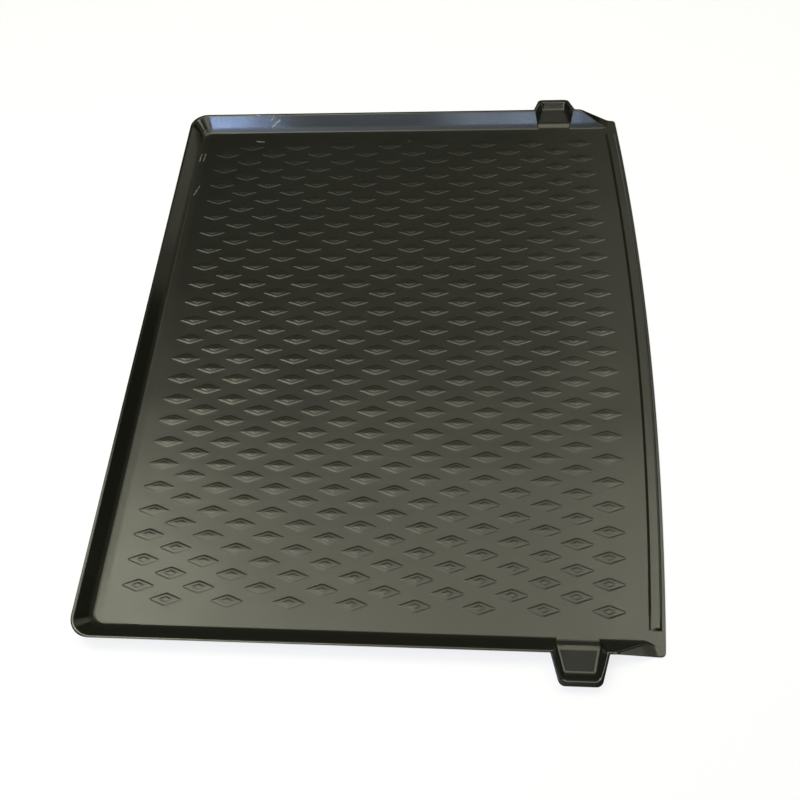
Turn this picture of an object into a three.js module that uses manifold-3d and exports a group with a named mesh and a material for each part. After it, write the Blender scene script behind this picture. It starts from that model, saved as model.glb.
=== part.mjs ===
// Car boot liner: one moulded tray that lies on a boot floor.
// Millimetres, +Z up, +X towards the tailgate, +Y across the car.
// The origin is under the middle of the tray, on the surface that it lies on.

import * as THREE from 'three';
import { mergeGeometries, mergeVertices } from 'three/addons/utils/BufferGeometryUtils.js';
import Module from 'manifold-3d';

// Tray: overall sizes, measured outside the rim
const TRAY_LENGTH = 855;
const TRAY_WIDTH = 1065;
const TRAY_HEIGHT = 28;
const SHEET = 3;

// Walls: how far the inner faces lean out, and their corner radii
const SIDE_LEAN = 24;
const SEAT_LEAN = 21;
const FOOT_RADIUS = 18;
const RIM_RADIUS = 32;

// Gentle slope where the floor meets the wall on the seat side
const FOOT_SLOPE_WIDTH = 11;
const FOOT_SLOPE_RISE = 1.5;

// Tailgate edge: bowed in plan, with a raised ridge along it
const EDGE_BOW_RADIUS = 6200;
const EDGE_CORNER = 12;
const RIDGE_BOW_RADIUS = 6000;
const RIDGE_TO_EDGE = 13.8;
const RIDGE_FOOT_WIDTH = 19.6;
const RIDGE_TOP_WIDTH = 10.8;
const RIDGE_HEIGHT = 3.5;
const RIDGE_LENGTH = 981;
const RIDGE_END_SLOPE = 3.8;

// Ramps: each side wall runs down to the floor before the tailgate edge.
// The rim widens into a flat land, and the land ends at the edge's corner.
const RAMP_START_TO_EDGE = 89.5;
const RAMP_END_TO_EDGE = 35;
const RAMP_INNER_END_TO_EDGE = 40;
const LAND_END_TO_FOOT = 21.5;

// Ears: a trapezoid pocket pushed out through each side wall
const EAR_TO_EDGE = 140;
const EAR_REACH = 41.5;
const EAR_TIP_HEIGHT = 15;
const EAR_MOUTH_WIDTH = 80;
const EAR_TIP_WIDTH = 57;
const EAR_TIP_RADIUS = 10;
const EAR_SIDE_LIP = 4;
const EAR_TIP_LIP = 8;
const EAR_FLOOR_HEIGHT = 7;
const EAR_SLOPE_TO_FOOT = 4;
const EAR_FLOOR_TO_FOOT = 12;
const EAR_FLOOR_DEPTH = 37;
const EAR_FLOOR_MOUTH_WIDTH = 60;
const EAR_FLOOR_TIP_WIDTH = 42;
const EAR_FLOOR_RADIUS = 4;

// Tread: staggered rows of flat rhombus pads, each with a small raised stud
const TREAD_ROW_PITCH = 20.2;
const TREAD_COLUMN_PITCH = 92.8;
const TREAD_TO_SIDE_FOOT = 27;
const TREAD_TO_SEAT_FOOT = 31;
const TREAD_TO_RIDGE = 11;
const PAD_WIDTH = 50;
const PAD_DEPTH = 21.4;
const PAD_HEIGHT = 1;
const PAD_SLOPE = 2.6;
const STUD_WIDTH = 21.5;
const STUD_DEPTH = 10;
const STUD_HEIGHT = 0.7;

// Modelling values: facets of curves, overlap of joined pieces, flatness of a face, reach of cutters
const CORNER_STEPS = 4;
const BOW_STEPS = 24;
const OVERLAP = 0.3;
const FLATNESS = 0.001;
const CUTTER_REACH = 20;

const EDGE_X = TRAY_LENGTH / 2;
const SEAT_RIM_X = -TRAY_LENGTH / 2;
const RIM_Y = TRAY_WIDTH / 2;
const WALL_RISE = TRAY_HEIGHT - SHEET;
const SIDE_WALL = levelWidth(SIDE_LEAN);
const SEAT_WALL = levelWidth(SEAT_LEAN);
const FOOT_Y = RIM_Y - SIDE_WALL - SIDE_LEAN;
const SEAT_FOOT_X = SEAT_RIM_X + SEAT_WALL + SEAT_LEAN;

const wasm = await Module();
wasm.setup();

// Width of a leaning wall, measured level, that gives it the sheet's thickness
function levelWidth(lean) {
  return (SHEET * Math.hypot(lean, WALL_RISE)) / WALL_RISE;
}

function solid(geometry) {
  geometry.deleteAttribute('normal');
  geometry.deleteAttribute('uv');
  const welded = mergeVertices(geometry);
  return new wasm.Manifold(new wasm.Mesh({
    numProp: 3,
    vertProperties: new Float32Array(welded.attributes.position.array),
    triVerts: new Uint32Array(welded.index.array),
  }));
}

// Closed solid through rings of equally many points, from the lowest ring up
function loft(rings) {
  const [lowest] = rings;
  const outline = new THREE.Shape(lowest.map((point) => new THREE.Vector2(point.x, point.y)));
  const steps = rings.length - 1;
  const geometry = new THREE.ExtrudeGeometry(outline, { depth: steps, steps, bevelEnabled: false });
  const position = geometry.attributes.position;
  for (let i = 0; i < position.count; i += 1) {
    const corner = nearestPoint(lowest, position.getX(i), position.getY(i));
    const { x, y, z } = rings[Math.round(position.getZ(i))][corner];
    position.setXYZ(i, x, y, z);
  }
  return solid(geometry);
}

function nearestPoint(ring, x, y) {
  const distances = ring.map((point) => Math.hypot(point.x - x, point.y - y));
  return distances.indexOf(Math.min(...distances));
}

// A plan outline at one height, or at the height that a function of x and y gives
function ring(points, height) {
  const heightAt = typeof height === 'function' ? height : () => height;
  return points.map(({ x, y }) => new THREE.Vector3(x, y, heightAt(x, y)));
}

function box(low, high) {
  const geometry = new THREE.BoxGeometry(high.x - low.x, high.y - low.y, high.z - low.z);
  geometry.translate((low.x + high.x) / 2, (low.y + high.y) / 2, (low.z + high.z) / 2);
  return solid(geometry);
}

// Tray outline in plan: two rounded corners on the seat side, open-ended past the tailgate edge
function trayOutline(seatX, halfWidth, radius) {
  const farX = EDGE_X + CUTTER_REACH;
  const path = new THREE.Path();
  path.moveTo(farX, -halfWidth);
  path.lineTo(farX, halfWidth);
  path.absarc(seatX + radius, halfWidth - radius, radius, Math.PI / 2, Math.PI);
  path.absarc(seatX + radius, -halfWidth + radius, radius, Math.PI, 1.5 * Math.PI);
  return path.getPoints(CORNER_STEPS);
}

// Outline of a leaning wall's face at a height, outside or inside the sheet
function wallRing(height, outside) {
  const share = (height - SHEET) / WALL_RISE;
  const seatX = SEAT_FOOT_X - SEAT_LEAN * share - (outside ? SEAT_WALL : 0);
  const halfWidth = FOOT_Y + SIDE_LEAN * share + (outside ? SIDE_WALL : 0);
  const radius = FOOT_RADIUS + (RIM_RADIUS - FOOT_RADIUS) * share;
  return ring(trayOutline(seatX, halfWidth, radius), height);
}

function bowX(middleX, radius, y) {
  return middleX - radius + Math.sqrt(radius * radius - y * y);
}

// Points along a bowed line, from the near end to the far end
function bowPoints(middleX, radius, halfLength) {
  const reach = Math.asin(halfLength / radius);
  const path = new THREE.Path();
  path.absarc(middleX - radius, 0, radius, -reach, reach);
  return path.getPoints(BOW_STEPS / 2);
}

// Everything on the tray's side of the bowed tailgate edge
function insideEdge() {
  const sideY = RIM_Y + CUTTER_REACH;
  const farX = SEAT_RIM_X - CUTTER_REACH;
  const corners = [new THREE.Vector2(farX, sideY), new THREE.Vector2(farX, -sideY)];
  const outline = [...bowPoints(EDGE_X, EDGE_BOW_RADIUS, sideY), ...corners];
  return loft([ring(outline, -CUTTER_REACH), ring(outline, TRAY_HEIGHT + CUTTER_REACH)]);
}

// Floor and the three leaning walls, as one sheet
function trayShell() {
  const outside = loft([wallRing(0, true), wallRing(TRAY_HEIGHT, true)]);
  const inside = loft([wallRing(SHEET, false), wallRing(TRAY_HEIGHT + OVERLAP, false)]);
  return outside.subtract(inside).intersect(insideEdge());
}

function footSlope() {
  const innerX = SEAT_FOOT_X + FOOT_SLOPE_WIDTH;
  const rise = (x) => SHEET + (FOOT_SLOPE_RISE * (innerX - x)) / FOOT_SLOPE_WIDTH;
  const outline = [
    new THREE.Vector2(SEAT_FOOT_X, -FOOT_Y),
    new THREE.Vector2(innerX, -FOOT_Y),
    new THREE.Vector2(innerX, FOOT_Y),
    new THREE.Vector2(SEAT_FOOT_X, FOOT_Y),
  ];
  return loft([ring(outline, SHEET - OVERLAP), ring(outline, rise)]);
}

// The ramp on one side: its plane, and the corners of the land that caps it
function rampOf(side) {
  const outerStart = new THREE.Vector3(EDGE_X - RAMP_START_TO_EDGE, side * RIM_Y, TRAY_HEIGHT);
  const outerEndY = side * (FOOT_Y + LAND_END_TO_FOOT);
  const outerEnd = new THREE.Vector3(EDGE_X - RAMP_END_TO_EDGE, outerEndY, SHEET);
  const innerEnd = new THREE.Vector3(EDGE_X - RAMP_INNER_END_TO_EDGE, side * FOOT_Y, SHEET);
  const plane = new THREE.Plane().setFromCoplanarPoints(outerStart, outerEnd, innerEnd);
  const rimInnerY = side * (RIM_Y - SIDE_WALL);
  const seatEnd = new THREE.Vector3(SEAT_RIM_X, rimInnerY, TRAY_HEIGHT);
  const tailgateEnd = new THREE.Vector3(EDGE_X, rimInnerY, TRAY_HEIGHT);
  const innerStart = plane.intersectLine(new THREE.Line3(seatEnd, tailgateEnd), new THREE.Vector3());
  return { plane, outerStart, outerEnd, innerEnd, innerStart };
}

// Height of a plane over any point of the plan
function heightOn({ normal, constant }) {
  return (x, y) => -(constant + normal.x * x + normal.y * y) / normal.z;
}

// What is taken off a side wall above its ramp, down to the floor
function rampCutter(side) {
  const ramp = rampOf(side);
  const startX = ramp.outerStart.x - CUTTER_REACH;
  const endX = EDGE_X + CUTTER_REACH;
  const innerY = side * (FOOT_Y - OVERLAP);
  const outerY = side * (RIM_Y + CUTTER_REACH);
  const outline = [
    new THREE.Vector2(startX, innerY),
    new THREE.Vector2(endX, innerY),
    new THREE.Vector2(endX, outerY),
    new THREE.Vector2(startX, outerY),
  ];
  const top = TRAY_HEIGHT + 2 * CUTTER_REACH;
  const aboveRamp = loft([ring(outline, heightOn(ramp.plane)), ring(outline, top)]);
  const low = new THREE.Vector3(startX, Math.min(innerY, outerY), SHEET);
  const high = new THREE.Vector3(endX, Math.max(innerY, outerY), top);
  return aboveRamp.intersect(box(low, high));
}

// The widening land that caps a ramp
function rampLand(side) {
  const ramp = rampOf(side);
  const outline = [ramp.innerStart, ramp.innerEnd, ramp.outerEnd, ramp.outerStart];
  const topHeight = heightOn(ramp.plane);
  const underHeight = (x, y) => topHeight(x, y) - SHEET;
  return loft([ring(outline, underHeight), ring(outline, topHeight)]);
}

// Rounded corner of the floor, between a land and the tailgate edge
function floorCorner(side) {
  const { outerEnd, innerEnd } = rampOf(side);
  const tipX = bowX(EDGE_X, EDGE_BOW_RADIUS, outerEnd.y);
  const turnY = outerEnd.y - side * EDGE_CORNER;
  const innerY = side * (FOOT_Y - CUTTER_REACH);
  const path = new THREE.Path();
  path.moveTo(innerEnd.x - CUTTER_REACH, innerY);
  path.lineTo(innerEnd.x - OVERLAP, innerEnd.y);
  path.lineTo(outerEnd.x - OVERLAP, outerEnd.y);
  path.quadraticCurveTo(tipX, outerEnd.y, bowX(EDGE_X, EDGE_BOW_RADIUS, turnY), turnY);
  path.lineTo(bowX(EDGE_X, EDGE_BOW_RADIUS, innerY), innerY);
  const outline = path.getPoints(CORNER_STEPS);
  return loft([ring(outline, 0), ring(outline, SHEET)]);
}

// Trapezoid in plan with its narrow end outwards and rounded corners there
function earOutline(side, mouthY, mouthWidth, tipY, tipWidth, radius) {
  const middleX = EDGE_X - EAR_TO_EDGE;
  const share = radius / (tipY - mouthY);
  const turnHalf = tipWidth / 2 + (share * (mouthWidth - tipWidth)) / 2;
  const path = new THREE.Path();
  path.moveTo(middleX + mouthWidth / 2, side * mouthY);
  path.lineTo(middleX + turnHalf, side * (tipY - radius));
  path.quadraticCurveTo(middleX + tipWidth / 2, side * tipY, middleX + tipWidth / 2 - radius, side * tipY);
  path.lineTo(middleX - tipWidth / 2 + radius, side * tipY);
  path.quadraticCurveTo(middleX - tipWidth / 2, side * tipY, middleX - turnHalf, side * (tipY - radius));
  path.lineTo(middleX - mouthWidth / 2, side * mouthY);
  return path.getPoints(CORNER_STEPS);
}

// The ear's rim falls from the tray's rim to the ear's tip
function earRimHeight(x, y) {
  const startY = RIM_Y - SIDE_WALL / 2;
  const fall = (TRAY_HEIGHT - EAR_TIP_HEIGHT) / (RIM_Y + EAR_REACH - startY);
  return TRAY_HEIGHT - fall * (Math.abs(y) - startY);
}

function earBody(side) {
  const floorMouthY = FOOT_Y + EAR_FLOOR_TO_FOOT;
  const underTipY = floorMouthY + EAR_FLOOR_DEPTH + SHEET / 2;
  const rimMouthY = RIM_Y - SIDE_WALL / 2;
  const underMouthWidth = EAR_FLOOR_MOUTH_WIDTH + SHEET;
  const underTipWidth = EAR_FLOOR_TIP_WIDTH + SHEET;
  const under = earOutline(side, FOOT_Y + SHEET, underMouthWidth, underTipY, underTipWidth, EAR_FLOOR_RADIUS);
  const rim = earOutline(side, rimMouthY, EAR_MOUTH_WIDTH, RIM_Y + EAR_REACH, EAR_TIP_WIDTH, EAR_TIP_RADIUS);
  return loft([ring(under, EAR_FLOOR_HEIGHT - SHEET), ring(rim, earRimHeight)]);
}

function earHollow(side) {
  const floorMouthY = FOOT_Y + EAR_FLOOR_TO_FOOT;
  const floorTipY = floorMouthY + EAR_FLOOR_DEPTH;
  const rimTipY = RIM_Y + EAR_REACH - EAR_TIP_LIP;
  const mouthWidth = EAR_MOUTH_WIDTH;
  const tipWidth = EAR_TIP_WIDTH - 2 * EAR_SIDE_LIP;
  const radius = EAR_TIP_RADIUS - EAR_SIDE_LIP;
  const floor = earOutline(side, floorMouthY, EAR_FLOOR_MOUTH_WIDTH, floorTipY, EAR_FLOOR_TIP_WIDTH, EAR_FLOOR_RADIUS);
  const rim = earOutline(side, floorMouthY, mouthWidth, rimTipY, tipWidth, radius);
  const above = (x, y) => earRimHeight(x, y) + CUTTER_REACH;
  return loft([ring(floor, EAR_FLOOR_HEIGHT), ring(rim, earRimHeight), ring(rim, above)]);
}

// Way from the tray's floor up to the ear's floor, through the side wall: level at first, then sloped.
// Each ring has a half width and a height that is worked out from the way's own height.
function earWay(side, rings) {
  const middleX = EDGE_X - EAR_TO_EDGE;
  const slopeY = FOOT_Y + EAR_SLOPE_TO_FOOT;
  const topY = FOOT_Y + EAR_FLOOR_TO_FOOT;
  const rise = (EAR_FLOOR_HEIGHT - SHEET) / (topY - slopeY);
  const wayHeight = (y) => SHEET + rise * Math.max(0, Math.abs(y) - slopeY);
  const part = (startY, endY) => loft(rings.map(([halfWidth, heightOver]) => {
    const outline = [
      new THREE.Vector2(middleX - halfWidth, side * startY),
      new THREE.Vector2(middleX + halfWidth, side * startY),
      new THREE.Vector2(middleX + halfWidth, side * endY),
      new THREE.Vector2(middleX - halfWidth, side * endY),
    ];
    return ring(outline, (x, y) => heightOver(wayHeight(y)));
  }));
  return part(FOOT_Y, slopeY).add(part(slopeY, topY));
}

// The sheet under the way
function earWayFloor(side) {
  const halfWidth = (EAR_FLOOR_MOUTH_WIDTH + SHEET) / 2;
  return earWay(side, [[halfWidth, (height) => height - SHEET], [halfWidth, (height) => height]]);
}

// The room over the way, which opens the side wall
function earWayHollow(side) {
  const top = earRimHeight(EDGE_X - EAR_TO_EDGE, FOOT_Y + EAR_FLOOR_TO_FOOT);
  return earWay(side, [[EAR_FLOOR_MOUTH_WIDTH / 2, (height) => height], [EAR_MOUTH_WIDTH / 2, () => top]]);
}

function ridgeOutline(width, length) {
  const middleX = EDGE_X - RIDGE_TO_EDGE;
  const outer = bowPoints(middleX + width / 2, RIDGE_BOW_RADIUS, length / 2);
  const inner = bowPoints(middleX - width / 2, RIDGE_BOW_RADIUS, length / 2);
  return [...outer, ...inner.reverse()];
}

function ridge() {
  const foot = ridgeOutline(RIDGE_FOOT_WIDTH, RIDGE_LENGTH);
  const top = ridgeOutline(RIDGE_TOP_WIDTH, RIDGE_LENGTH - 2 * RIDGE_END_SLOPE);
  return loft([ring(foot, SHEET - OVERLAP), ring(foot, SHEET), ring(top, SHEET + RIDGE_HEIGHT)]);
}

// Centres of the pads: rows along the floor, every second one moved on by half a pitch.
// Each row is fitted between the seat side and the bowed ridge, so the columns bow more and more.
function treadCentres() {
  const lastRow = Math.floor((FOOT_Y - TREAD_TO_SIDE_FOOT - PAD_DEPTH / 2) / TREAD_ROW_PITCH);
  const ridgeFootX = EDGE_X - RIDGE_TO_EDGE - RIDGE_FOOT_WIDTH / 2;
  const firstX = TREAD_TO_SEAT_FOOT + PAD_WIDTH / 2;
  const lastX = ridgeFootX - SEAT_FOOT_X - TREAD_TO_RIDGE - PAD_WIDTH / 2;
  const centres = [];
  for (let row = -lastRow; row <= lastRow; row += 1) {
    const y = row * TREAD_ROW_PITCH;
    const share = (bowX(ridgeFootX, RIDGE_BOW_RADIUS, y) - SEAT_FOOT_X) / (ridgeFootX - SEAT_FOOT_X);
    const shift = (lastRow - row) % 2 === 0 ? TREAD_COLUMN_PITCH / 2 : 0;
    for (let x = firstX + shift; x <= lastX; x += TREAD_COLUMN_PITCH) {
      centres.push(new THREE.Vector2(SEAT_FOOT_X + x * share, y));
    }
  }
  return centres;
}

// Pad with sloped sides, its foot at the floor and sunk by the overlap
function padGeometry() {
  const sideDistance = (PAD_WIDTH * PAD_DEPTH) / (2 * Math.hypot(PAD_WIDTH, PAD_DEPTH));
  const topShare = 1 - PAD_SLOPE / sideDistance;
  const footShare = 1 + ((1 - topShare) * OVERLAP) / PAD_HEIGHT;
  const height = PAD_HEIGHT + OVERLAP;
  const geometry = new THREE.CylinderGeometry(topShare / 2, footShare / 2, height, 4);
  geometry.rotateX(Math.PI / 2);
  geometry.scale(PAD_WIDTH, PAD_DEPTH, 1);
  geometry.translate(0, 0, SHEET - OVERLAP + height / 2);
  return geometry;
}

function studGeometry() {
  const footShare = 1 + OVERLAP / STUD_HEIGHT;
  const height = STUD_HEIGHT + OVERLAP;
  const geometry = new THREE.ConeGeometry(footShare / 2, height, 4);
  geometry.rotateX(Math.PI / 2);
  geometry.scale(STUD_WIDTH, STUD_DEPTH, 1);
  geometry.translate(0, 0, SHEET + PAD_HEIGHT - OVERLAP + height / 2);
  return geometry;
}

// One copy of a geometry at each pad's centre
function repeated(geometry) {
  return solid(mergeGeometries(treadCentres().map(({ x, y }) => geometry.clone().translate(x, y, 0))));
}

function bootLiner() {
  let body = trayShell();
  for (const side of [1, -1]) {
    body = body.subtract(rampCutter(side)).add(rampLand(side)).add(floorCorner(side));
    body = body.add(earBody(side)).add(earWayFloor(side));
    body = body.subtract(earHollow(side).add(earWayHollow(side)));
  }
  body = body.add(footSlope()).add(ridge());
  body = body.add(repeated(padGeometry())).add(repeated(studGeometry()));
  return body.asOriginal().simplify(FLATNESS);
}

function geometryOf(body) {
  const { vertProperties, triVerts } = body.getMesh();
  const geometry = new THREE.BufferGeometry();
  geometry.setAttribute('position', new THREE.BufferAttribute(vertProperties, 3));
  geometry.setIndex(new THREE.BufferAttribute(triVerts, 1));
  geometry.computeVertexNormals();
  return geometry;
}

const mouldedPlastic = new THREE.MeshStandardMaterial({ color: 0x23231d, roughness: 0.38, metalness: 0 });
const liner = new THREE.Mesh(geometryOf(bootLiner()), mouldedPlastic);
liner.name = 'boot_liner';

const model = new THREE.Group();
model.add(liner);

export default model;
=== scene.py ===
import math

import bmesh
import bpy
from mathutils import Matrix, Vector


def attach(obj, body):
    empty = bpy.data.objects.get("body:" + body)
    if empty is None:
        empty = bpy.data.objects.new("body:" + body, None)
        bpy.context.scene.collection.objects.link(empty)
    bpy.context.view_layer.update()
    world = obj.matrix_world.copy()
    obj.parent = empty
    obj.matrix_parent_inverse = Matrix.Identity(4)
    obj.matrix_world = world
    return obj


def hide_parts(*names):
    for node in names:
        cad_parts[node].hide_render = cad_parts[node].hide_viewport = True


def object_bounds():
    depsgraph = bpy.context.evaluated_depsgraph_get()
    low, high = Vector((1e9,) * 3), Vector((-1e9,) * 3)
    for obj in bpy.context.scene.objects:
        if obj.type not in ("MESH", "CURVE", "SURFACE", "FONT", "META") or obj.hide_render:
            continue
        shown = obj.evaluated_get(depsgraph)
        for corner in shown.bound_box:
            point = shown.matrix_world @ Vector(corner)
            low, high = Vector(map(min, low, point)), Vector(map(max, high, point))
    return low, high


# Car boot liner: one moulded tray on a pale studio floor.
# Metres, +X towards the tailgate, +Y across the car, +Z up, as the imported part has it.
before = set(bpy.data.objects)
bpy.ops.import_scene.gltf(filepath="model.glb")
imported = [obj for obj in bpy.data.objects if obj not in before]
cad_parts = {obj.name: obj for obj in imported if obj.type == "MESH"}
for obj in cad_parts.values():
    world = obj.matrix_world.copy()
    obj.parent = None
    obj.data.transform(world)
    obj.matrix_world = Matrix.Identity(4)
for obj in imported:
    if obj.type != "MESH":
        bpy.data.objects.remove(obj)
cad_low, cad_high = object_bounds()

# The camera stands beyond the near side and looks down on the tray, slightly turned and rolled.
# It is a plain lens without shift or depth of field.
CAMERA_PLACE = Vector((0.1497, -0.9253, 1.2957))
CAMERA_RIGHT = Vector((0.99640, 0.05324, -0.06590)).normalized()
CAMERA_BACK = Vector((0.08410, -0.52732, 0.84549))
CAMERA_LENS = 42.551
CAMERA_FILM = 36.0
CAMERA_NEAREST = 0.05

lens = bpy.data.cameras.new("camera")
lens.lens = CAMERA_LENS
lens.sensor_width = CAMERA_FILM
lens.clip_start = CAMERA_NEAREST
camera = bpy.data.objects.new("camera", lens)
up = CAMERA_BACK.cross(CAMERA_RIGHT).normalized()
turned = Matrix((CAMERA_RIGHT, up, CAMERA_RIGHT.cross(up))).transposed()
camera.matrix_world = Matrix.Translation(CAMERA_PLACE) @ turned.to_4x4()
bpy.context.scene.collection.objects.link(camera)
bpy.context.scene.camera = camera

# The sheet is one moulding of dark polymer, 3 mm thick, with low walls that lean outwards.
# Its section runs from the floor up the wall, over the rim, down outside and in under the floor.
SHEET = 0.003
HALF_LENGTH = (cad_high.x - cad_low.x) / 2
RIM_HEIGHT = cad_high.z
RIM_Y = 0.5325
SIDE_LEAN = 0.024
SEAT_LEAN = 0.021
# The rim's top falls outwards by this much
RIM_FALL = 0.0008
FOOT_RADIUS = 0.018
RIM_RADIUS = 0.032
WALL_RISE = RIM_HEIGHT - SHEET
SIDE_WALL = SHEET * math.hypot(SIDE_LEAN, WALL_RISE) / WALL_RISE
SEAT_WALL = SHEET * math.hypot(SEAT_LEAN, WALL_RISE) / WALL_RISE
FOOT_Y = RIM_Y - SIDE_WALL - SIDE_LEAN
SEAT_FOOT_X = -HALF_LENGTH + SEAT_WALL + SEAT_LEAN
SLOPE_WIDTH = 0.011
SLOPE_RISE = 0.0015
FLAT_MARGIN = 0.008
BASE_MARGIN = 0.012

# The lines that run round the tray, from the flat floor over the rim to the flat underside
LEVELS = (
    "flat", "crease", "foot", "rim_inside", "rim_outside",
    "lip", "under_wall", "heel", "base",
)
# Radius of each line between the first and the last, and the steps of its arc
SECTION_RADII = (0.030, 0.0065, 0.0045, 0.0013, 0.0008, 0.0010, 0.0030)
SECTION_STEPS = (4, 6, 4, 4, 1, 1, 3)
# An arc turns at least as if by this tangent, and takes less than half of each side
LEAST_TURN = 0.2
MOST_SHARE = 0.49


def rounded(points, radii, steps):
    """The line through points, with each inner corner an arc that fits between its neighbours."""
    line = [points[0]]
    for before, corner, after, radius, count in zip(points, points[1:], points[2:], radii, steps):
        into = corner - before
        out = after - corner
        half_turn = into.angle(out, 0.0) / 2
        reach = radius * max(math.tan(half_turn), LEAST_TURN)
        reach = min(reach, into.length * MOST_SHARE, out.length * MOST_SHARE)
        start = corner - into.normalized() * reach
        end = corner + out.normalized() * reach
        weight = math.cos(half_turn)
        for step in range(count + 1):
            share = step / count
            first = (1 - share) ** 2
            middle = 2 * weight * share * (1 - share)
            last = share ** 2
            line.append((start * first + corner * middle + end * last) / (first + middle + last))
    line.append(points[-1])
    return line


def wall_profile(lean, wall, rise, slope_width, margin):
    """How far out of the foot line, and how high, each level of a plain wall lies."""
    heel = wall - lean * SHEET / WALL_RISE
    top = Vector((lean + wall, RIM_HEIGHT))
    bottom = Vector((heel, 0))
    down = (bottom - top).normalized()
    return {
        "flat": Vector((-slope_width - margin, SHEET)),
        "crease": Vector((-slope_width, SHEET)),
        "foot": Vector((lean * rise / WALL_RISE, SHEET + rise)),
        "rim_inside": Vector((lean, RIM_HEIGHT)),
        "rim_outside": top - Vector((0, RIM_FALL)),
        "lip": top + down * SHEET,
        "under_wall": (top + bottom) / 2,
        "heel": bottom,
        "base": Vector((-BASE_MARGIN, 0)),
    }


SEAT_PROFILE = wall_profile(SEAT_LEAN, SEAT_WALL, SLOPE_RISE, SLOPE_WIDTH, FLAT_MARGIN)
SIDE_PROFILE = wall_profile(SIDE_LEAN, SIDE_WALL, 0, FLAT_MARGIN / 2, FLAT_MARGIN / 2)


def seat_wall_point(y):
    """The levels of the seat wall at one place along it."""
    return {level: Vector((SEAT_FOOT_X - p.x, y, p.y)) for level, p in SEAT_PROFILE.items()}


def side_wall_point(x):
    """The levels of the side wall at one place along it."""
    return {level: Vector((x, FOOT_Y + p.x, p.y)) for level, p in SIDE_PROFILE.items()}


def wall_corner():
    """The levels where the seat wall meets the side wall."""
    corner = {}
    for level in LEVELS:
        seat = SEAT_PROFILE[level]
        side = SIDE_PROFILE[level]
        corner[level] = Vector((SEAT_FOOT_X - seat.x, FOOT_Y + side.x, (seat.y + side.y) / 2))
    return corner


# Each side wall has an ear: a shallow pocket of the same sheet that is pushed out through it.
# A soft slope leads up to its floor, and its rim falls from the tray's rim to the ear's tip.
EAR_X = HALF_LENGTH - 0.140
EAR_TIP_Y = cad_high.y
EAR_TIP_HEIGHT = 0.015
EAR_MOUTH_HALF = 0.040
EAR_TIP_HALF = 0.0285
EAR_SIDE_LIP = 0.004
EAR_TIP_LIP = 0.008
EAR_FLOOR_HEIGHT = 0.007
EAR_STEP_Y = FOOT_Y + 0.001
EAR_FLOOR_MOUTH_Y = FOOT_Y + 0.012
EAR_STEP_ROWS = 6
EAR_FLOOR_TIP_Y = EAR_FLOOR_MOUTH_Y + 0.037
EAR_FLOOR_MOUTH_HALF = 0.030
EAR_FLOOR_TIP_HALF = 0.0215
EAR_MARGIN = 0.005
EAR_TIP_MARGIN = 0.008
# Shares of the way along the ear's rim that the slope's start and end lie abreast of
EAR_STEP_SHARE = 0.06
EAR_SIDE_SHARE = 0.35


def ear_rim_height(y):
    """Height of the ear's rim, which falls outwards in one plane."""
    start = RIM_Y - SIDE_WALL / 2
    fall = (RIM_HEIGHT - EAR_TIP_HEIGHT) / (EAR_TIP_Y - start)
    return RIM_HEIGHT - max(0.0, fall * (y - start))


def ear_rim(half, y):
    """A point on the ear's rim, at a distance from the ear's middle line."""
    return Vector((half, y, ear_rim_height(y)))


def with_underside(levels, heel, base):
    """Adds the levels outside and below to those of the inside."""
    top = levels["rim_outside"]
    levels["lip"] = top + (heel - top).normalized() * SHEET
    levels["under_wall"] = (top + heel) / 2
    levels["heel"] = heel
    levels["base"] = base
    return levels


def ear_mouth():
    """The levels at the ear's mouth, measured from the ear's middle line."""
    half = EAR_FLOOR_MOUTH_HALF
    inside = {
        "flat": Vector((half - 2 * EAR_MARGIN, FOOT_Y - FLAT_MARGIN, SHEET)),
        "crease": Vector((half - EAR_MARGIN, FOOT_Y - FLAT_MARGIN / 2, SHEET)),
        "foot": Vector((half, FOOT_Y, SHEET)),
        "rim_inside": Vector((EAR_MOUTH_HALF - EAR_SIDE_LIP, RIM_Y - SIDE_WALL, RIM_HEIGHT)),
        "rim_outside": Vector((EAR_MOUTH_HALF, RIM_Y, RIM_HEIGHT - RIM_FALL)),
    }
    heel = Vector((half + SHEET / 2, FOOT_Y + SIDE_PROFILE["heel"].x, 0))
    base = Vector((half - 2 * EAR_MARGIN, FOOT_Y - BASE_MARGIN, 0))
    return with_underside(inside, heel, base)


def ear_side(y, height, share):
    """The levels along the ear's side, measured from its middle line.

    share is the way along its rim.
    """
    half = EAR_FLOOR_MOUTH_HALF
    tip_inside = ear_rim(EAR_TIP_HALF - EAR_SIDE_LIP, EAR_TIP_Y)
    inner = ear_mouth()["rim_inside"].lerp(tip_inside, share)
    outer = ear_mouth()["rim_outside"].lerp(ear_rim(EAR_TIP_HALF, EAR_TIP_Y), share)
    inside = {
        "flat": Vector((half - 2 * EAR_MARGIN, y, height)),
        "crease": Vector((half - EAR_MARGIN, y, height)),
        "foot": Vector((half, y, height)),
        "rim_inside": ear_rim(inner.x, inner.y),
        "rim_outside": ear_rim(outer.x, outer.y) - Vector((0, 0, RIM_FALL * (1 - share))),
    }
    heel = Vector((half + SHEET / 2, y + SHEET / 2, height - SHEET))
    base = Vector((half - 2 * EAR_MARGIN, y + SHEET / 2, height - SHEET))
    return with_underside(inside, heel, base)


def ear_rows():
    """The levels from the tray's floor up the soft slope to the ear's floor, row by row."""
    rows = []
    for row in range(EAR_STEP_ROWS):
        share = row / (EAR_STEP_ROWS - 1)
        y = EAR_STEP_Y + share * (EAR_FLOOR_MOUTH_Y - EAR_STEP_Y)
        height = SHEET + (EAR_FLOOR_HEIGHT - SHEET) * share * share * (3 - 2 * share)
        rim_share = EAR_STEP_SHARE + share * (EAR_SIDE_SHARE - EAR_STEP_SHARE)
        rows.append(ear_side(y, height, rim_share))
    return rows


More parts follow.
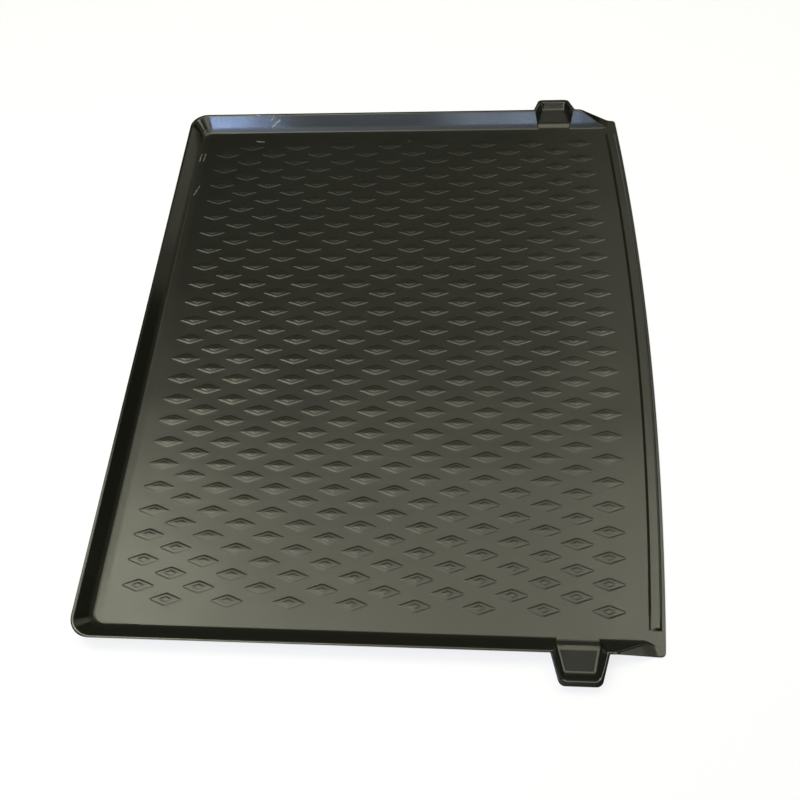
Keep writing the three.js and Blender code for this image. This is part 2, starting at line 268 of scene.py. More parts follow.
def ear_tip():
    """The levels at a corner of the ear's tip, measured from the ear's middle line."""
    half = EAR_FLOOR_TIP_HALF
    y = EAR_FLOOR_TIP_Y
    height = EAR_FLOOR_HEIGHT
    inside = {
        "flat": Vector((half - EAR_TIP_MARGIN, y - EAR_TIP_MARGIN, height)),
        "crease": Vector((half - EAR_TIP_MARGIN / 2, y - EAR_TIP_MARGIN / 2, height)),
        "foot": Vector((half, y, height)),
        "rim_inside": ear_rim(EAR_TIP_HALF - EAR_SIDE_LIP, EAR_TIP_Y - EAR_TIP_LIP),
        "rim_outside": ear_rim(EAR_TIP_HALF, EAR_TIP_Y),
    }
    heel = Vector((half + SHEET / 2, y + SHEET / 2, height - SHEET))
    base = Vector((half - EAR_TIP_MARGIN, y - EAR_TIP_MARGIN, height - SHEET))
    return with_underside(inside, heel, base)


def ear_point(levels, direction):
    """Levels measured from the ear's middle line, put in place before or behind it."""
    return {level: Vector((EAR_X + direction * p.x, p.y, p.z)) for level, p in levels.items()}


# Behind the ear each side wall runs down to the floor, and its rim widens into a flat land.
# From there a bowed edge without a wall runs along the tailgate.
EDGE_BOW = 6.2
EDGE_CORNER = 0.012
RAMP_START_X = HALF_LENGTH - 0.0895
RAMP_INNER_START_X = HALF_LENGTH - 0.0906
RAMP_END_X = HALF_LENGTH - 0.0350
RAMP_INNER_END_X = HALF_LENGTH - 0.0400
LAND_END_Y = FOOT_Y + 0.0215
# Shares of the land's width at which the rim's line and the underside's heel run out
LAND_RIM_SHARE = 0.04
LAND_HEEL_SHARE = 0.08
# How far inside the edge each level lies
EDGE_INSETS = {
    "flat": 0.0041,
    "crease": 0.0033,
    "foot": 0.0026,
    "rim_inside": 0.0019,
    "rim_outside": 0.0,
}
EDGE_UNDER_INSETS = {"lip": 0.0, "under_wall": 0.0020, "heel": 0.0030, "base": 0.0060}
EDGE_START = LAND_END_Y - 1.2 * EDGE_CORNER
EDGE_STATIONS = 16


def bow_x(middle_x, radius, y):
    """X of a bowed line that crosses the tray's middle line at middle_x."""
    return middle_x - radius + math.sqrt(radius * radius - y * y)


def ramp_start():
    """The levels where the side wall starts to fall."""
    levels = side_wall_point(RAMP_START_X)
    levels["rim_inside"].x = RAMP_INNER_START_X
    return levels


def ramp_end():
    """The levels where the side wall has come down to the floor."""
    inner = Vector((RAMP_INNER_END_X, FOOT_Y, SHEET))
    outer = Vector((RAMP_END_X, LAND_END_Y, SHEET))
    down = Vector((0, 0, -SHEET))
    flat = inner + Vector((-FLAT_MARGIN, -FLAT_MARGIN, 0))
    return {
        "flat": flat,
        "crease": flat.lerp(inner, 0.5),
        "foot": inner,
        "rim_inside": inner.lerp(outer, LAND_RIM_SHARE),
        "rim_outside": outer,
        "lip": outer + down,
        "under_wall": outer.lerp(inner, 0.5) + down,
        "heel": inner.lerp(outer, LAND_HEEL_SHARE) + down,
        "base": flat + down,
    }


def edge_point(y, share_y):
    """The levels at the tailgate edge. share_y moves the inner levels along it, at the corner."""
    edge_x = bow_x(HALF_LENGTH, EDGE_BOW, y)
    levels = {}
    for level, inset in EDGE_INSETS.items():
        levels[level] = Vector((edge_x - inset, y - share_y * inset, SHEET))
    for level, inset in EDGE_UNDER_INSETS.items():
        levels[level] = Vector((edge_x - inset, y - share_y * inset, 0))
    return levels


# Seen from above, the radius of each turn inside and outside, and the steps of its arc
NO_TURN = (0, 0, 1)
WALL_TURN = (0.020, 0.020, 2)
CORNER_TURN = (FOOT_RADIUS, RIM_RADIUS, 12)
CORNER_REACH = 2.2 * RIM_RADIUS
EAR_MOUTH_TURN = (0.002, 0.010, 6)
EAR_ROW_TURN = (0.001, 0.001, 2)
EAR_TIP_TURN = (0.004, 0.010, 8)
RAMP_START_TURN = (0.030, 0.030, 6)
RAMP_END_TURN = (0.040, 0.040, 8)
EDGE_CORNER_TURN = (0.003, EDGE_CORNER, 6)
EDGE_TURN = (0.001, 0.001, 1)


def half_tray_controls():
    """Corners of the lines round half the tray, each with its turn."""
    controls = [
        (seat_wall_point(0), NO_TURN),
        (seat_wall_point(FOOT_Y - CORNER_REACH), WALL_TURN),
        (wall_corner(), CORNER_TURN),
        (side_wall_point(SEAT_FOOT_X + CORNER_REACH), WALL_TURN),
        (ear_point(ear_mouth(), -1), EAR_MOUTH_TURN),
        *((ear_point(levels, -1), EAR_ROW_TURN) for levels in ear_rows()),
        (ear_point(ear_tip(), -1), EAR_TIP_TURN),
        (ear_point(ear_tip(), 1), EAR_TIP_TURN),
        *((ear_point(levels, 1), EAR_ROW_TURN) for levels in reversed(ear_rows())),
        (ear_point(ear_mouth(), 1), EAR_MOUTH_TURN),
        (ramp_start(), RAMP_START_TURN),
        (ramp_end(), RAMP_END_TURN),
        (edge_point(LAND_END_Y, 1), EDGE_CORNER_TURN),
    ]
    for station in range(EDGE_STATIONS):
        y = EDGE_START * (1 - station / EDGE_STATIONS)
        controls.append((edge_point(y, 0), EDGE_TURN))
    controls.append((edge_point(0, 0), NO_TURN))
    return controls


WALL_TOP = ("rim_inside", "rim_outside", "lip", "under_wall")


def plan_radius(level, inside, outside):
    """The radius in plan of one level's corner."""
    return outside if level in WALL_TOP else inside


def tray_sections():
    """Sections of half the tray, one at each station round it."""
    controls = half_tray_controls()
    turns = [turn for _, turn in controls[1:-1]]
    steps = [count for _, _, count in turns]
    lines = []
    for level in LEVELS:
        points = [levels[level] for levels, _ in controls]
        radii = [plan_radius(level, inside, outside) for inside, outside, _ in turns]
        lines.append(rounded(points, radii, steps))
    return [rounded(list(station), SECTION_RADII, SECTION_STEPS) for station in zip(*lines)]


# Marks on the band's open lines, and how near two places are to count as one
INSIDE = 1
UNDERSIDE = 2
MERGED = 1e-5
SEAM = 2e-5
SAME = 1e-6


def sheet_band():
    """The wall, rim and flange all round, open at the floor and at the underside."""
    sections = tray_sections()
    last = len(sections[0]) - 1
    band = bmesh.new()
    face_of = band.verts.layers.int.new("face_of")
    grid = bmesh.ops.create_grid(band, x_segments=len(sections) - 1, y_segments=last)["verts"]
    for place, corner in enumerate(grid):
        row, column = divmod(place, len(sections))
        corner.co = sections[column][row]
        corner[face_of] = {0: INSIDE, last: UNDERSIDE}.get(row, 0)
    half = band.verts[:] + band.edges[:] + band.faces[:]
    bmesh.ops.mirror(band, geom=half, axis="Y", merge_dist=MERGED)
    bmesh.ops.remove_doubles(band, verts=band.verts, dist=SEAM)
    return band


def open_line(mesh, face):
    """The open edges of the band, on its inside or on its underside."""
    face_of = mesh.verts.layers.int["face_of"]
    open_edges = [edge for edge in mesh.edges if edge.is_boundary]
    return [edge for edge in open_edges if all(corner[face_of] == face for corner in edge.verts)]


def fill_ear(mesh, face, level, side):
    """Closes the floor of an ear's mouth, the soft slope and the ear's floor.

    The underside of them is closed in the same way.
    """
    line = open_line(mesh, face)
    corners = {corner for edge in line for corner in edge.verts if side * corner.co.y > 0}
    mouth_y = ear_mouth()[level].y
    mouth = [corner for corner in corners if abs(side * corner.co.y - mouth_y) < SAME]
    rows = [[] for _ in range(EAR_STEP_ROWS + 1)]
    for direction in (-1, 1):
        abreast = [corner for corner in mouth if direction * (corner.co.x - EAR_X) > 0]
        rows[0].append(min(abreast, key=lambda corner: abs(corner.co.x - EAR_X)))
        for row, levels in zip(rows[1:], ear_rows()):
            point = levels[level]
            place = Vector((EAR_X + direction * point.x, side * point.y, point.z))
            row.append(min(corners, key=lambda corner: (corner.co - place).length))
    reach = max(abs(corner.co.x - EAR_X) for corner in rows[0]) + SAME
    within = {corner for corner in corners
              if abs(corner.co.x - EAR_X) < reach and side * corner.co.y > mouth_y - SAME}
    edges = [edge for edge in line if within.issuperset(edge.verts)]
    bmesh.ops.edgenet_fill(mesh, edges=edges + [mesh.edges.new(row) for row in rows])


liner = sheet_band()
for ear_end in (1, -1):
    fill_ear(liner, INSIDE, "flat", ear_end)
    fill_ear(liner, UNDERSIDE, "base", ear_end)

# The tread is staggered rows of flat rhombus pads, moulded up from the floor.
# Each pad carries a small stud, and its sides are soft slopes.
# The rows are fitted between the seat side and the bowed ridge, so their columns bow too.
ROW_PITCH = 0.0202
COLUMN_PITCH = 0.0928
LAST_ROW = 23
RIDGE_BOW = 6.0
RIDGE_TO_EDGE = 0.0138
RIDGE_HALF_WIDTH = 0.0098
RIDGE_FOOT_X = HALF_LENGTH - RIDGE_TO_EDGE - RIDGE_HALF_WIDTH
PADS_IN_ROW = 8
FIRST_PAD_X = SEAT_FOOT_X + 0.0560
# A quarter of the pad's outline, from its tip to its blunt side
PAD_QUARTER = ((0.0250, 0), (0.0239, 0.0016), (0.0138, 0.0057), (0.0030, 0.01005), (0, 0.0107))
# A quarter of the outline of the piece of floor round a pad
TILE_HALF_WIDTH = 0.030
TILE_NOTCH = COLUMN_PITCH / 2 - TILE_HALF_WIDTH
TILE_PEAK = 0.0125
TILE_QUARTER = (
    (TILE_HALF_WIDTH, 0),
    (TILE_HALF_WIDTH, ROW_PITCH / 2),
    (TILE_NOTCH, ROW_PITCH / 2),
    (0, TILE_PEAK),
)
# Sides of the largest gap that is left between tiles
GAP_SIDES = 8
# Shares of the pad's width and depth, and height above the floor, up to the stud's top
PAD_RINGS = (
    (0.985, 0.95, 0.00006),
    (0.870, 0.76, 0.00056),
    (0.800, 0.66, 0.00071),
    (0.455, 0.50, 0.00073),
    (0.420, 0.46, 0.00082),
    (0.230, 0.26, 0.00122),
    (0.170, 0.18, 0.00129),
)


def outline_from(mesh, quarter):
    """A closed outline at the origin that repeats a quarter to all four sides."""
    steps = len(quarter) - 1
    outline = bmesh.ops.create_circle(mesh, cap_ends=False, segments=4 * steps, radius=1)["verts"]
    for corner in outline:
        turn = math.atan2(abs(corner.co.y), abs(corner.co.x)) / (math.pi / 2)
        across, along = quarter[round(turn * steps)]
        x = math.copysign(across, corner.co.x)
        corner.co = Vector((x, math.copysign(along, corner.co.y), SHEET))
    return outline


def parts_of(geometry, kind):
    """The corners, edges or faces among what an operator made."""
    return [part for part in geometry if isinstance(part, kind)]


def tread_tile(mesh):
    """One pad with the piece of floor round it, at the origin."""
    outline_from(mesh, TILE_QUARTER)
    border_edges = mesh.edges[:]
    outline = outline_from(mesh, PAD_QUARTER)
    edges = [edge for edge in mesh.edges if edge.verts[0] in outline]
    bmesh.ops.bridge_loops(mesh, edges=border_edges + edges)
    last = Vector((1, 1, 0))
    for ring in PAD_RINGS:
        made = bmesh.ops.extrude_edge_only(mesh, edges=edges)["geom"]
        corners = parts_of(made, bmesh.types.BMVert)
        edges = parts_of(made, bmesh.types.BMEdge)
        bmesh.ops.scale(mesh, verts=corners, vec=(ring[0] / last.x, ring[1] / last.y, 1))
        bmesh.ops.translate(mesh, verts=corners, vec=(0, 0, ring[2] - last.z))
        last = Vector(ring)
    bmesh.ops.edgeloop_fill(mesh, edges=edges)


def tread():
    """All the pads, each second row moved on by half a pitch, with the floor between them."""
    mesh = bmesh.new()
    tread_tile(mesh)
    tile = mesh.verts[:] + mesh.edges[:] + mesh.faces[:]
    for row in range(-LAST_ROW, LAST_ROW + 1):
        shift = COLUMN_PITCH / 2 if (LAST_ROW - row) % 2 == 0 else 0
        for column in range(PADS_IN_ROW):
            copied = bmesh.ops.duplicate(mesh, geom=tile)["geom"]
            place = Vector((FIRST_PAD_X + shift + column * COLUMN_PITCH, row * ROW_PITCH, 0))
            bmesh.ops.translate(mesh, verts=parts_of(copied, bmesh.types.BMVert), vec=place)
    bmesh.ops.delete(mesh, geom=tile, context="VERTS")
    open_corners = [corner for corner in mesh.verts if corner.is_boundary]
    bmesh.ops.remove_doubles(mesh, verts=open_corners, dist=MERGED)
    open_edges = [edge for edge in mesh.edges if edge.is_boundary]
    bmesh.ops.holes_fill(mesh, edges=open_edges, sides=GAP_SIDES)
    for corner in mesh.verts:
        row_end = bow_x(RIDGE_FOOT_X, RIDGE_BOW, corner.co.y)
        row_share = (row_end - SEAT_FOOT_X) / (RIDGE_FOOT_X - SEAT_FOOT_X)
        corner.co.x = SEAT_FOOT_X + (corner.co.x - SEAT_FOOT_X) * row_share
    return mesh


def add_parts(mesh, parts):
    """Joins other meshes to this one."""
    for part in parts:
        held = bpy.data.meshes.new("held")
        part.to_mesh(held)
        part.free()
        mesh.from_mesh(held)
        bpy.data.meshes.remove(held)


# A low ridge with soft edges runs along the tailgate edge and stops short of both corners.
# It is part of the same moulding and keeps what is spilt on the tray.
RIDGE_HALF_LENGTH = 0.4905
RIDGE_STEPS = 32
# Thickness and rise of each inset, from the ridge's foot to its top
RIDGE_INSETS = (
    (0.0007, 0.0002),
    (0.0007, 0.0006),
    (0.0018, 0.0020),
    (0.0006, 0.0005),
    (0.0005, 0.0002),
)


def ridge():
    """The ridge as a bowed strip of floor, raised ring by ring."""
    mesh = bmesh.new()
    grid = bmesh.ops.create_grid(mesh, x_segments=1, y_segments=RIDGE_STEPS, size=1)["verts"]
    for corner in grid:
        y = corner.co.y * RIDGE_HALF_LENGTH
        middle_x = HALF_LENGTH - RIDGE_TO_EDGE + corner.co.x * RIDGE_HALF_WIDTH
        corner.co = Vector((bow_x(middle_x, RIDGE_BOW, y), y, SHEET))
    top = bmesh.ops.dissolve_faces(mesh, faces=mesh.faces[:])["region"]
    for thickness, rise in RIDGE_INSETS:
        bmesh.ops.inset_region(
            mesh, faces=top, thickness=thickness, depth=rise,
            use_even_offset=True, use_boundary=True)
    return mesh


# The floor between the tread, the ridge and the walls is flat, and so is the whole underside.
# With both filled in, the tray is one closed moulding.
def fill_flat(mesh, height, up):
    """Fills the flat face that the open edges at one height bound."""
    open_edges = [edge for edge in mesh.edges if edge.is_boundary]
    edges = [edge for edge in open_edges
             if all(abs(corner.co.z - height) < SAME for corner in edge.verts)]
    bmesh.ops.triangle_fill(
        mesh, use_beauty=True, use_dissolve=False, edges=edges, normal=(0, 0, up))


add_parts(liner, [tread(), ridge()])
fill_flat(liner, SHEET, 1)
fill_flat(liner, 0, -1)
bmesh.ops.recalc_face_normals(liner, faces=liner.faces)
for face in liner.faces:
    face.smooth = True
liner_mesh = bpy.data.meshes.new("liner")
liner.to_mesh(liner_mesh)
liner.free()
tray = bpy.data.objects.new("liner", liner_mesh)
bpy.context.scene.collection.objects.link(tray)
tray.modifiers.new("weighted_normals", "WEIGHTED_NORMAL")
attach(tray, "root")
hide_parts("boot_liner")

# The polymer is nearly black with a warm, slightly olive cast and a satin gloss.
# Its floor has a fine moulded grain, its walls are glossier, and the sheet is slightly uneven.
POLYMER_COLOUR = (0.0075, 0.0075, 0.0056, 1)
POLYMER_IOR = 1.5
# The floor's roughness varies between these two with handling, over this middle part of its noise
SATIN = (0.31, 0.35)
HANDLING_SPREAD = (0.35, 0.65)
WALL_ROUGHNESS = 0.11
# Between these heights the satin of the floor gives way to the gloss of the walls
GLOSS_START = 0.008
GLOSS_FULL = 0.012

plastic = bpy.data.materials.new("moulded_plastic")
plastic.use_nodes = True
tree = plastic.node_tree
shader = tree.nodes["Principled BSDF"]
shader.inputs["IOR"].default_value = POLYMER_IOR
place_on_part = tree.nodes.new("ShaderNodeTexCoord")


def noise(name, scale, detail, roughness):
    """Noise over the part's own coordinates."""
    node = tree.nodes.new("ShaderNodeTexNoise")
    node.name = name
    node.inputs["Scale"].default_value = scale
    node.inputs["Detail"].default_value = detail
    node.inputs["Roughness"].default_value = roughness
    tree.links.new(place_on_part.outputs["Object"], node.inputs["Vector"])
    return node


def bump(name, source, strength, distance, before):
    """A bump from a noise, laid over the one before it."""
    node = tree.nodes.new("ShaderNodeBump")
    node.name = name
    node.inputs["Strength"].default_value = strength
    node.inputs["Distance"].default_value = distance
    tree.links.new(source.outputs[0], node.inputs["Height"])
    if before:
        tree.links.new(before.outputs["Normal"], node.inputs["Normal"])
    return node


def mapped(source, from_low, from_high, to_low, to_high):
    """A value moved from one range to another, and kept within it."""
    node = tree.nodes.new("ShaderNodeMapRange")
    node.inputs["From Min"].default_value = from_low
    node.inputs["From Max"].default_value = from_high
    node.inputs["To Min"].default_value = to_low
    node.inputs["To Max"].default_value = to_high
    tree.links.new(source, node.inputs["Value"])
    return node.outputs[0]


def computed(operation, first, second):
    """One sum of two values, each a number or a socket."""
    node = tree.nodes.new("ShaderNodeMath")
    node.operation = operation
    for socket, value in zip(node.inputs, (first, second)):
        if isinstance(value, bpy.types.NodeSocket):
            tree.links.new(value, socket)
        else:
            socket.default_value = value
    return node.outputs[0]


def blended(share, first, second):
    """A mix of a value with a set one."""
    node = tree.nodes.new("ShaderNodeMix")
    tree.links.new(share, node.inputs["Factor"])
    tree.links.new(first, node.inputs["A"])
    node.inputs["B"].default_value = second
    return node.outputs[0]


waves = noise("waves", scale=5.0, detail=1.0, roughness=0.4)
grain = noise("grain", scale=900.0, detail=2.0, roughness=0.6)
handling = noise("handling", scale=9.0, detail=5.0, roughness=0.6)
wavy = bump("wavy_sheet", waves, strength=1.0, distance=0.004, before=None)
grained = bump("grained_face", grain, strength=0.35, distance=0.0002, before=wavy)
tree.links.new(grained.outputs["Normal"], shader.inputs["Normal"])

# A patch on the floor of each ear has a matt grain, within a satin border.
# It is moulded in the same sheet, and follows the outline of the ear's floor.
PATCH_MOUTH_BORDER = 0.0045
PATCH_BORDER = 0.0030
PATCH_FADE = 0.0008
PATCH_ROUGHNESS = 0.76

axes = tree.nodes.new("ShaderNodeSeparateXYZ")
tree.links.new(place_on_part.outputs["Object"], axes.inputs[0])
across = computed("ABSOLUTE", computed("SUBTRACT", axes.outputs["X"], EAR_X), 0)
along = computed("SUBTRACT", computed("ABSOLUTE", axes.outputs["Y"], 0), EAR_FLOOR_MOUTH_Y)
narrowing = (EAR_FLOOR_MOUTH_HALF - EAR_FLOOR_TIP_HALF) / (EAR_FLOOR_TIP_Y - EAR_FLOOR_MOUTH_Y)
side_line = computed("ADD", across, computed("MULTIPLY", along, narrowing))
from_side = computed("SUBTRACT", EAR_FLOOR_MOUTH_HALF - PATCH_BORDER, side_line)
from_mouth = computed("SUBTRACT", along, PATCH_MOUTH_BORDER)
from_tip = computed("SUBTRACT", EAR_FLOOR_TIP_Y - EAR_FLOOR_MOUTH_Y - PATCH_BORDER, along)
inward = computed("MINIMUM", computed("MINIMUM", from_side, from_mouth), from_tip)
patch = mapped(inward, 0, PATCH_FADE, 0, 1)
satin = mapped(handling.outputs[0], *HANDLING_SPREAD, *SATIN)
wall_face = mapped(axes.outputs["Z"], GLOSS_START, GLOSS_FULL, 0, 1)
faced = blended(patch, blended(wall_face, satin, WALL_ROUGHNESS), PATCH_ROUGHNESS)

# Use has left a few pale scuffs: on the far wall, on the slope by the seat wall and on the floor.
# Each is a short stroke from one point to another, with ragged sides and broken up by noise.
# They are given as start, end and half width.
SCUFFS = (
    ((-0.2960, 0.5285, 0.0275), (-0.2910, 0.5275, 0.0270), 0.0020),
    ((-0.2625, 0.5255, 0.0250), (-0.2680, 0.5207, 0.0201), 0.0018),
    ((-0.2517, 0.5204, 0.0198), (-0.2661, 0.5125, 0.0115), 0.0036),
    ((-0.2952, 0.4805, 0.0030), (-0.2802, 0.4783, 0.0030), 0.0022),
    ((-0.3996, 0.4453, 0.0042), (-0.4018, 0.4263, 0.0042), 0.0014),
    ((-0.3923, 0.4474, 0.0038), (-0.3946, 0.4284, 0.0038), 0.0014),
    ((-0.3900, 0.3606, 0.0038), (-0.3978, 0.3366, 0.0042), 0.0018),
    ((0.0080, 0.4764, 0.0030), (0.0094, 0.4764, 0.0030), 0.0014),
)
SCUFF_COLOUR = (0.30, 0.31, 0.30, 1)
SCUFF_ROUGHNESS = 0.50
RAGGED_REACH = 0.0025
# How much of a scuff shows, where the rubbing is least and most, over the middle part of its noise
RUBBED = (0.15, 0.85)
RUBBING_SPREAD = (0.40, 0.60)

stroke = bpy.data.node_groups.new("stroke", "ShaderNodeTree")
stroke.interface.new_socket("Place", in_out="INPUT", socket_type="NodeSocketVector")
stroke.interface.new_socket("Start", in_out="INPUT", socket_type="NodeSocketVector")
stroke.interface.new_socket("End", in_out="INPUT", socket_type="NodeSocketVector")
stroke.interface.new_socket("Half Width", in_out="INPUT", socket_type="NodeSocketFloat")
stroke.interface.new_socket("Mask", in_out="OUTPUT", socket_type="NodeSocketFloat")
given = stroke.nodes.new("NodeGroupInput")


def vector_step(operation, first, second, result="Vector"):
    """One operation on two vectors inside the stroke."""
    node = stroke.nodes.new("ShaderNodeVectorMath")
    node.operation = operation
    stroke.links.new(first, node.inputs[0])
    stroke.links.new(second, node.inputs[1])
    return node.outputs[result]


to_place = vector_step("SUBTRACT", given.outputs["Place"], given.outputs["Start"])
to_end = vector_step("SUBTRACT", given.outputs["End"], given.outputs["Start"])
part_way = stroke.nodes.new("ShaderNodeMath")
part_way.operation = "DIVIDE"
part_way.use_clamp = True
stroke.links.new(vector_step("DOT_PRODUCT", to_place, to_end, "Value"), part_way.inputs[0])
stroke.links.new(vector_step("DOT_PRODUCT", to_end, to_end, "Value"), part_way.inputs[1])
reached = stroke.nodes.new("ShaderNodeVectorMath")
reached.operation = "SCALE"
stroke.links.new(to_end, reached.inputs[0])
stroke.links.new(part_way.outputs[0], reached.inputs["Scale"])
fading = stroke.nodes.new("ShaderNodeMapRange")
fading.interpolation_type = "SMOOTHSTEP"
fading.inputs["To Min"].default_value = 1
fading.inputs["To Max"].default_value = 0
away = vector_step("DISTANCE", to_place, reached.outputs[0], "Value")
stroke.links.new(away, fading.inputs["Value"])
stroke.links.new(given.outputs["Half Width"], fading.inputs["From Max"])
stroke.links.new(fading.outputs[0], stroke.nodes.new("NodeGroupOutput").inputs["Mask"])

ragged = tree.nodes.new("ShaderNodeVectorMath")
ragged.operation = "MULTIPLY_ADD"
raggedness = noise("raggedness", scale=160.0, detail=3.0, roughness=0.6)
tree.links.new(raggedness.outputs["Color"], ragged.inputs[0])
ragged.inputs[1].default_value = [2 * RAGGED_REACH] * 3
tree.links.new(place_on_part.outputs["Object"], ragged.inputs[2])
centred = tree.nodes.new("ShaderNodeVectorMath")
centred.operation = "SUBTRACT"
tree.links.new(ragged.outputs[0], centred.inputs[0])
centred.inputs[1].default_value = [RAGGED_REACH] * 3
scuffed = 0
for start, end, half_width in SCUFFS:
    mark = tree.nodes.new("ShaderNodeGroup")
    mark.node_tree = stroke
    tree.links.new(centred.outputs[0], mark.inputs["Place"])
    mark.inputs["Start"].default_value = start
    mark.inputs["End"].default_value = end
    mark.inputs["Half Width"].default_value = half_width
    scuffed = computed("MAXIMUM", scuffed, mark.outputs["Mask"])
rubbing = noise("rubbing", scale=700.0, detail=3.0, roughness=0.7)
shown = mapped(rubbing.outputs[0], *RUBBING_SPREAD, *RUBBED)
broken = computed("MULTIPLY", scuffed, shown)
tree.links.new(blended(broken, faced, SCUFF_ROUGHNESS), shader.inputs["Roughness"])
# The sockets of a mix node share their names, so those for colours are found by their place
MIX_COLOUR_A = 6
MIX_COLOUR_B = 7
MIX_COLOUR_RESULT = 2
tint = tree.nodes.new("ShaderNodeMix")
tint.data_type = "RGBA"
tree.links.new(broken, tint.inputs["Factor"])
tint.inputs[MIX_COLOUR_A].default_value = POLYMER_COLOUR
tint.inputs[MIX_COLOUR_B].default_value = SCUFF_COLOUR
tree.links.new(tint.outputs[MIX_COLOUR_RESULT], shader.inputs["Base Color"])
tray.data.materials.append(plastic)

# The studio floor is pale and matt, and large enough to fill the view.
# To the camera and in reflections it is white, and it keeps the tray's shadow.
STAGE_RADIUS = 8.0
STAGE_SIDES = 96
STAGE_GAP = 0.0004
WHITE_SHARE = 0.8
PAPER_COLOUR = (0.92, 0.92, 0.92, 1)
PAPER_ROUGHNESS = 0.95

stage_mesh = bpy.data.meshes.new("floor")
disc = bmesh.new()
bmesh.ops.create_circle(disc, cap_ends=True, segments=STAGE_SIDES, radius=STAGE_RADIUS)
bmesh.ops.translate(disc, verts=disc.verts, vec=(0, 0, -STAGE_GAP))
disc.to_mesh(stage_mesh)
disc.free()
stage_floor = bpy.data.objects.new("floor", stage_mesh)
bpy.context.scene.collection.objects.link(stage_floor)
pale = bpy.data.materials.new("pale_floor")
pale.use_nodes = True
paper = pale.node_tree.nodes["Principled BSDF"]
paper.inputs["Base Color"].default_value = PAPER_COLOUR
paper.inputs["Roughness"].default_value = PAPER_ROUGHNESS
paper.inputs["Specular IOR Level"].default_value = 0.0
white = pale.node_tree.nodes.new("ShaderNodeEmission")
ray = pale.node_tree.nodes.new("ShaderNodeLightPath")
seen = pale.node_tree.nodes.new("ShaderNodeMath")
seen.operation = "MAXIMUM"
reflected = pale.node_tree.nodes.new("ShaderNodeMath")
reflected.operation = "MAXIMUM"
share = pale.node_tree.nodes.new("ShaderNodeMath")
share.operation = "MULTIPLY"
share.inputs[1].default_value = WHITE_SHARE
mixed = pale.node_tree.nodes.new("ShaderNodeMixShader")
link = pale.node_tree.links.new
link(ray.outputs["Is Camera Ray"], seen.inputs[0])
link(ray.outputs["Is Glossy Ray"], seen.inputs[1])
link(seen.outputs[0], reflected.inputs[0])
link(ray.outputs["Is Transmission Ray"], reflected.inputs[1])
link(reflected.outputs[0], share.inputs[0])
link(share.outputs[0], mixed.inputs["Fac"])
link(paper.outputs["BSDF"], mixed.inputs[1])
link(white.outputs["Emission"], mixed.inputs[2])
link(mixed.outputs["Shader"], pale.node_tree.nodes["Material Output"].inputs["Surface"])
stage_floor.data.materials.append(pale)


# Soft boxes hang over the tray in two rows, stronger over its seat side and its tailgate edge.
# Bluish panels stand high behind the camera, and dim screens stand low round the far side.
# The camera doesn't see any of them.
WARM = (1.0, 0.99, 0.77)
BLUISH = (0.45, 0.62, 1.0)
PALE_BLUE = (0.58, 0.75, 1.0)
DULL_BLUE = (0.58, 0.70, 1.0)
COOL = (0.80, 0.90, 1.0)
# Watts for each square metre of a panel, at a radiance of one
PANEL_POWER = 4


def panel(name, place, target, size, radiance, colour):
    """A rectangular soft light that faces a point and is equally bright all over."""
    light = bpy.data.lights.new(name, "AREA")
    light.shape = "RECTANGLE"
    light.size = size[0]
    light.size_y = size[1]
    light.energy = PANEL_POWER * radiance * size[0] * size[1]
    light.color = colour
    lamp = bpy.data.objects.new(name, light)
    lamp.location = place
    lamp.rotation_mode = "QUATERNION"
    lamp.rotation_quaternion = (Vector(target) - Vector(place)).to_track_quat("-Z", "Y")
    lamp.visible_camera = False
    bpy.context.scene.collection.objects.link(lamp)


def hung(name, place, size, radiance, colour):
    """A panel that faces straight down."""
    panel(name, place, (place[0], place[1], 0), size, radiance, colour)


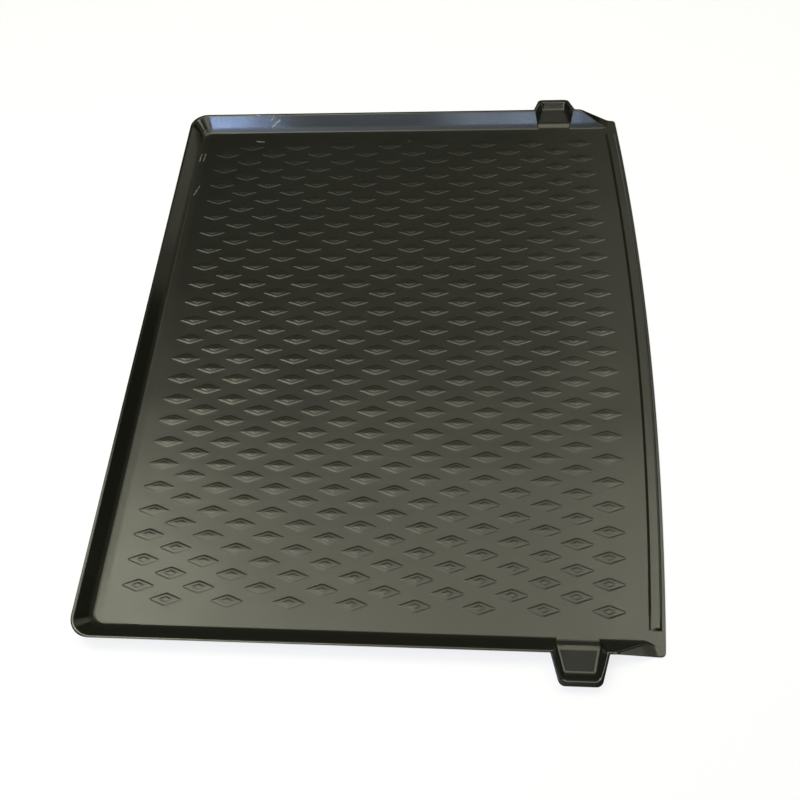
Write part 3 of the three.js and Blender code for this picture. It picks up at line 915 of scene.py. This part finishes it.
hung("seat_side_box", (-1.28, 0.28, 2.0), (1.0, 0.9), 6.6, WARM)
hung("near_box", (-0.50, -0.25, 2.0), (0.5, 0.4), 7.5, WARM)
hung("middle_box", (0.15, 0.30, 2.0), (1.4, 1.2), 2.3, WARM)
hung("tailgate_box", (1.15, 0.35, 2.0), (0.6, 0.9), 6.0, WARM)
hung("far_box", (1.00, 1.90, 2.0), (0.7, 1.4), 1.2, WARM)
hung("far_middle_box", (-0.10, 2.00, 2.0), (1.40, 1.00), 0.22, WARM)
hung("near_left_box", (-1.00, -0.78, 2.0), (0.90, 0.50), 4.0, WARM)
hung("near_right_box", (0.00, -0.78, 2.0), (1.00, 0.50), 1.6, WARM)
hung("left_blue_panel", (-1.94, -2.41, 3.0), (1.08, 0.70), 20.0, BLUISH)
hung("right_blue_panel", (0.35, -2.43, 3.0), (0.48, 0.51), 6.8, PALE_BLUE)
hung("tailgate_blue_panel", (0.835, -2.39, 3.0), (0.45, 0.51), 5.5, DULL_BLUE)
hung("wide_dim_panel", (-0.35, -1.45, 2.3), (1.6, 0.8), 1.2, COOL)
panel("back_screen", (0.00, 5.00, 1.6), (0.00, 0.00, 0), (6.00, 1.60), 0.15, WARM)
panel("side_screen", (1.86, 2.95, 0.6), (-0.4, 0.2, 0.3), (1.6, 1.0), 0.5, WARM)
panel("tailgate_screen", (3.20, 0.30, 1.9), (0.3, 0, 0), (1.6, 1.2), 1.1, WARM)

# The backdrop is plain white as far as the camera sees it.
# What the tray mirrors of it is nearly dark, so that the plastic stays black.
DARK_GREY = (0.02, 0.02, 0.02, 1)
WHITE = (1, 1, 1, 1)

world = bpy.data.worlds.new("studio")
world.use_nodes = True
dim = world.node_tree.nodes["Background"]
dim.inputs["Color"].default_value = DARK_GREY
backdrop = world.node_tree.nodes.new("ShaderNodeBackground")
backdrop.inputs["Color"].default_value = WHITE
sight = world.node_tree.nodes.new("ShaderNodeLightPath")
chosen = world.node_tree.nodes.new("ShaderNodeMixShader")
join = world.node_tree.links.new
join(sight.outputs["Is Camera Ray"], chosen.inputs["Fac"])
join(dim.outputs[0], chosen.inputs[1])
join(backdrop.outputs[0], chosen.inputs[2])
join(chosen.outputs[0], world.node_tree.nodes["World Output"].inputs["Surface"])
bpy.context.scene.world = world
bpy.context.scene.view_settings.view_transform = "Standard"
